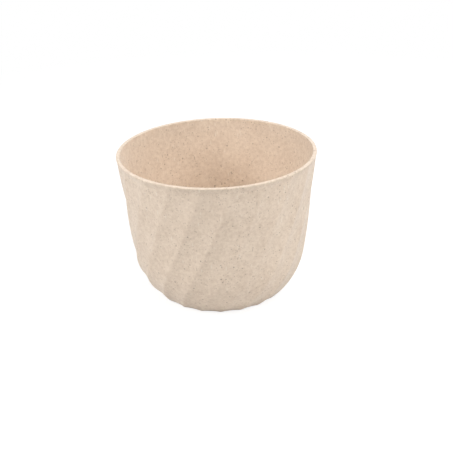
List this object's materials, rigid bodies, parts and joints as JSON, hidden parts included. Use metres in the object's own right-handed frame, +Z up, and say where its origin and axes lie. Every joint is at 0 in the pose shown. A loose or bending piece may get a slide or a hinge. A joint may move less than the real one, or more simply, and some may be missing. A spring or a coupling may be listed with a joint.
{
  "type": "plant pot",
  "caption": "Round plant pot moulded from speckled plant fibre, with twisted flutes, a rounded rim, a lift-out drain screen and a pull-out drain plug.",
  "frame": {"origin": "centre of the plane that the foot ring stands on", "axes": "+Z up along the pot's axis, -Y towards the pictured side"},
  "size_m": [0.13, 0.13, 0.097],
  "materials": {
    "fibre_composite": "matt, finely speckled plant-fibre composite",
    "screen_composite": "matt, darker plant-fibre composite",
    "plug_rubber": "matt soft rubber"
  },
  "bodies": {
    "pot": {"pot_shell": "fibre_composite"},
    "screen": {"drain_screen": "screen_composite"},
    "plug": {"drain_plug": "plug_rubber"}
  },
  "joints": [
    {"name": "screen_lift", "type": "slide", "parent": "pot", "child": "screen", "axis": [0, 0, 1], "range_m": [0, 0.1]},
    {"name": "plug_pull", "type": "slide", "parent": "pot", "child": "plug", "axis": [0, 0, -1], "range_m": [0, 0.012]}
  ]
}
